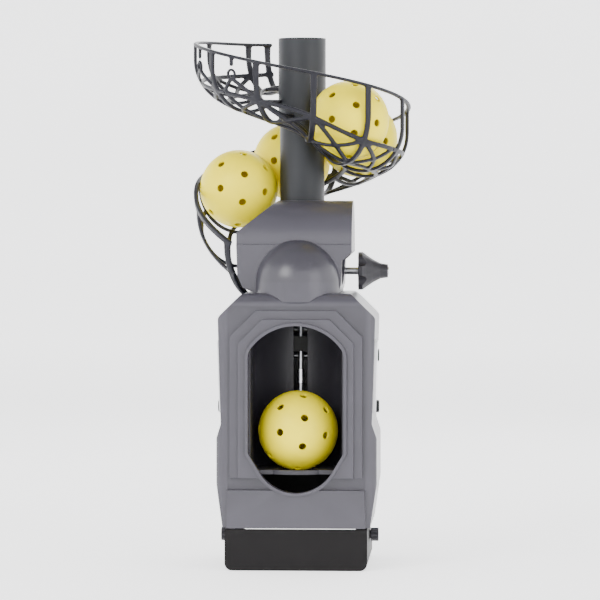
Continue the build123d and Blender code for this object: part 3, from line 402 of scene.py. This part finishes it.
def skin(angle, place):
    """A point of the trough's skin and its outward normal.

    place is degrees round the trough below the ball's centre (negative), or millimetres up the outer wall.
    """
    angle = min(max(angle, TRAY_ANGLES[0]), TRAY_ANGLES[-1])
    path_z = height_at(PATH_HEIGHTS, angle)
    low, high = max(angle - 6, TRAY_ANGLES[0]), min(angle + 6, TRAY_ANGLES[-1])
    drop = height_at(PATH_HEIGHTS, low) - height_at(PATH_HEIGHTS, high)
    run = PATH_R * math.radians(high - low)
    tall = math.hypot(drop, run) / run
    if place >= 0:
        r, z, out = PATH_R + SKIN_R, path_z + place, (1.0, 0.0)
    else:
        turn = math.radians(place)
        r, z = PATH_R + SKIN_R * math.cos(turn), path_z + tall * SKIN_R * math.sin(turn)
        out = (math.cos(turn), math.sin(turn))
    around = math.radians(angle)
    normal = Vector((out[0] * math.cos(around), out[0] * math.sin(around), out[1]))
    return in_space(r, z, angle), normal


def add_sized_bar(bm, points, normals, size, closed=False):
    width, thickness = size
    add_bar(bm, points, normals, width * MM, thickness * MM, closed)


def skin_bar(bm, stops, size, steps):
    """A bar in the skin through (angle, place) stops."""
    points, normals = [], []
    for (a0, p0), (a1, p1) in zip(stops, stops[1:]):
        for k in range(steps + (1 if (a1, p1) == stops[-1] else 0)):
            t = k / steps
            point, normal = skin(a0 + (a1 - a0) * t, p0 + (p1 - p0) * t)
            points.append(point)
            normals.append(normal)
    add_sized_bar(bm, points, normals, size)


def wall_height(angle):
    return max(height_at(RIM_HEIGHTS, angle) - height_at(PATH_HEIGHTS, angle), 3.0)


def rail(bm, start, end, place, size):
    """A bar along the whole section, at one place across the trough."""
    count = max(int((end - start) / RAIL_STEP), 2)
    points, normals = [], []
    for k in range(count + 1):
        angle = start + (end - start) * k / count
        point, normal = skin(angle, place)
        points.append(point)
        normals.append(normal)
    add_sized_bar(bm, points, normals, size)


def rim_flange(bm, start, end):
    """The flat rail round the tray's rim."""
    count = int((end - start) / RAIL_STEP)
    width, thickness = RIM_SIZE
    points = []
    for k in range(count + 1):
        angle = start + (end - start) * k / count
        points.append(in_space(TRAY_R - width / 2, height_at(RIM_HEIGHTS, angle) - thickness / 2, angle))
    add_sized_bar(bm, points, [Vector((0, 0, 1))] * len(points), RIM_SIZE)


def boss(bm, angle):
    """A small ring where braces meet."""
    point, normal = skin(angle, RING_PLACE)
    side = normal.cross(Vector((0, 0, 1))).normalized()
    up = side.cross(normal)
    turns = [2 * math.pi * k / RING_STEPS for k in range(RING_STEPS)]
    ring = [point + (side * math.cos(a) + up * math.sin(a)) * RING_R * MM for a in turns]
    add_sized_bar(bm, ring, [normal] * RING_STEPS, RING, closed=True)


def add_rails(bm, start, end, lower):
    rim_flange(bm, start, end)
    for place, size in RAIL_SIZES.items():
        rail(bm, start, end, place, size)
    if lower:
        rail(bm, start, end, 0.0, SIDE_RAIL)


def add_ribs(bm, start, end):
    ribs = [RIB_START + RIB_STEP * k for k in range(BAY_COUNT)]
    ribs = [a for a in ribs if start <= a < end]
    if start == TRAY_ANGLES[0]:
        ribs.append(start + END_INSET)
    if end == TRAY_ANGLES[-1]:
        ribs.append(end - END_INSET)
    for a in ribs:
        skin_bar(bm, [(a, wall_height(a) - 2), (a, 0.0)], WALL_RIB, 4)
        skin_bar(bm, [(a, -0.01), (a, INNER_EDGE)], FLOOR_RIB, 24)


def add_braces(bm, start, end):
    """The crossing braces of each bay between two ribs, with a ring in a few."""
    floor_mid = (LOW_RAIL + MID_RAIL) / 2
    for k in range(-1, BAY_COUNT):
        middle = RIB_START + RIB_STEP * (k + 0.5)
        if not start <= middle < end:
            continue
        left, right = max(middle - RIB_STEP / 2, start), min(middle + RIB_STEP / 2, end)
        for edge in (left, right):
            skin_bar(bm, [(edge, MID_RAIL), (middle, floor_mid)], BRACE, 8)
            skin_bar(bm, [(edge, LOW_RAIL), (middle, floor_mid)], BRACE, 8)
        if RING_SPAN[0] < middle < RING_SPAN[1]:
            boss(bm, middle)
            skin_bar(bm, [(middle, wall_height(middle) - 3), (middle, 4.5)], THIN_BRACE, 6)
            for edge in (left, right):
                skin_bar(bm, [(edge, MID_RAIL + 3), (middle, -9)], THIN_BRACE, 8)


def add_arms(bm, node):
    for angle in ARM_ANGLES.get(node, ()):
        edge, _ = skin(angle, INNER_EDGE)
        hub_point = in_space(HUB_R, edge.z / MM, angle)
        add_sized_bar(bm, [hub_point, (hub_point + edge) / 2, edge], [Vector((0, 0, 1))] * 3, ARM)


def fuse_bars(piece):
    """The bars made one skin, with soft corners where they meet."""
    remesh = piece.modifiers.new("fuse", "REMESH")
    remesh.mode = "VOXEL"
    remesh.voxel_size = 0.95 * MM
    remesh.use_smooth_shade = True
    smooth = piece.modifiers.new("soften", "SMOOTH")
    smooth.factor = 0.5
    smooth.iterations = 3
    apply_modifiers(piece)


def tray_piece(node, start, end):
    bm = bmesh.new()
    lower = node == "tray_lower"
    add_rails(bm, start, end, lower)
    add_ribs(bm, start, end)
    if not lower:
        add_braces(bm, start, end)
    add_arms(bm, node)
    fuse_bars(add_object(node + "_lattice", bm, "tray_black", "tray", (node,)))


for node, (start, end) in TRAY_SPANS.items():
    tray_piece(node, start, end)

# ---------------------------------------------------------------- side strips
STRIP_Y, STRIP_Z = (-48.0, 4.0), (143.0, 210.0)
STRIP_PROUD, STRIP_SUNK, STRIP_ROUND, STRIP_EDGE_R = 2.4, 1.0, 5.0, 0.7
FLANK_X, FLANK_Z, FLANK_LEAN = 69.5, 134.0, 3.0 / 98.0
BUTTON_Y, BUTTON_ZS, BUTTON_HOLE_R = -22.0, (196.0, 148.5), 6.2
CUTTER_L = 20


def strip_outline():
    """The strip's rounded outline in Y and Z."""
    points = []
    for y, z, first in ((STRIP_Y[1], STRIP_Z[1], 0), (STRIP_Y[0], STRIP_Z[1], 90),
                        (STRIP_Y[0], STRIP_Z[0], 180), (STRIP_Y[1], STRIP_Z[0], 270)):
        cy = y - STRIP_ROUND if y == STRIP_Y[1] else y + STRIP_ROUND
        cz = z - STRIP_ROUND if z == STRIP_Z[1] else z + STRIP_ROUND
        for k in range(7):
            turn = math.radians(first + 15 * k)
            points.append((cy + STRIP_ROUND * math.cos(turn), cz + STRIP_ROUND * math.sin(turn)))
    return points


def cut_button_hole(strip, side, z):
    """A round hole through the strip; the cutter is removed afterwards."""
    centre = Matrix.Translation(Vector((side * FLANK_X, BUTTON_Y, z)) * MM)
    bm = bmesh.new()
    bmesh.ops.create_cone(bm, cap_ends=True, segments=40, radius1=BUTTON_HOLE_R * MM,
                          radius2=BUTTON_HOLE_R * MM, depth=CUTTER_L * MM,
                          matrix=centre @ Matrix.Rotation(math.pi / 2, 4, "Y"))
    mesh = bpy.data.meshes.new("cutter")
    bm.to_mesh(mesh)
    bm.free()
    cutter = bpy.data.objects.new("cutter", mesh)
    bpy.context.collection.objects.link(cutter)
    cut = strip.modifiers.new("hole", "BOOLEAN")
    cut.operation = "DIFFERENCE"
    cut.solver = "EXACT"
    cut.object = cutter
    apply_modifiers(strip)
    bpy.data.objects.remove(cutter)


def side_strip(hand, side):
    """A white strip a little proud of the flank, with a hole for each button."""
    outline = strip_outline()
    bm = bmesh.new()

    def ring(rise):
        return [bm.verts.new(Vector((side * (FLANK_X + (z - FLANK_Z) * FLANK_LEAN + rise), y, z)) * MM)
                for y, z in outline]

    low, high = ring(-STRIP_SUNK), ring(STRIP_PROUD)
    for k in range(len(outline)):
        n = (k + 1) % len(outline)
        bm.faces.new((low[k], low[n], high[n], high[k]))
    bm.faces.new(high)
    bm.faces.new(list(reversed(low)))
    strip = add_object(f"side_strip_{hand}_pad", bm, "strip_white", "body", (f"side_strip_{hand}",))
    strip.data.polygons.foreach_set("use_smooth", [False] * len(strip.data.polygons))
    for z in BUTTON_ZS:
        cut_button_hole(strip, side, z)
    rounding = strip.modifiers.new("edges", "BEVEL")
    rounding.width = STRIP_EDGE_R * MM
    rounding.segments = 2
    rounding.limit_method = "ANGLE"
    rounding.angle_limit = math.radians(50)
    apply_modifiers(strip)


side_strip("left", -1)
side_strip("right", 1)
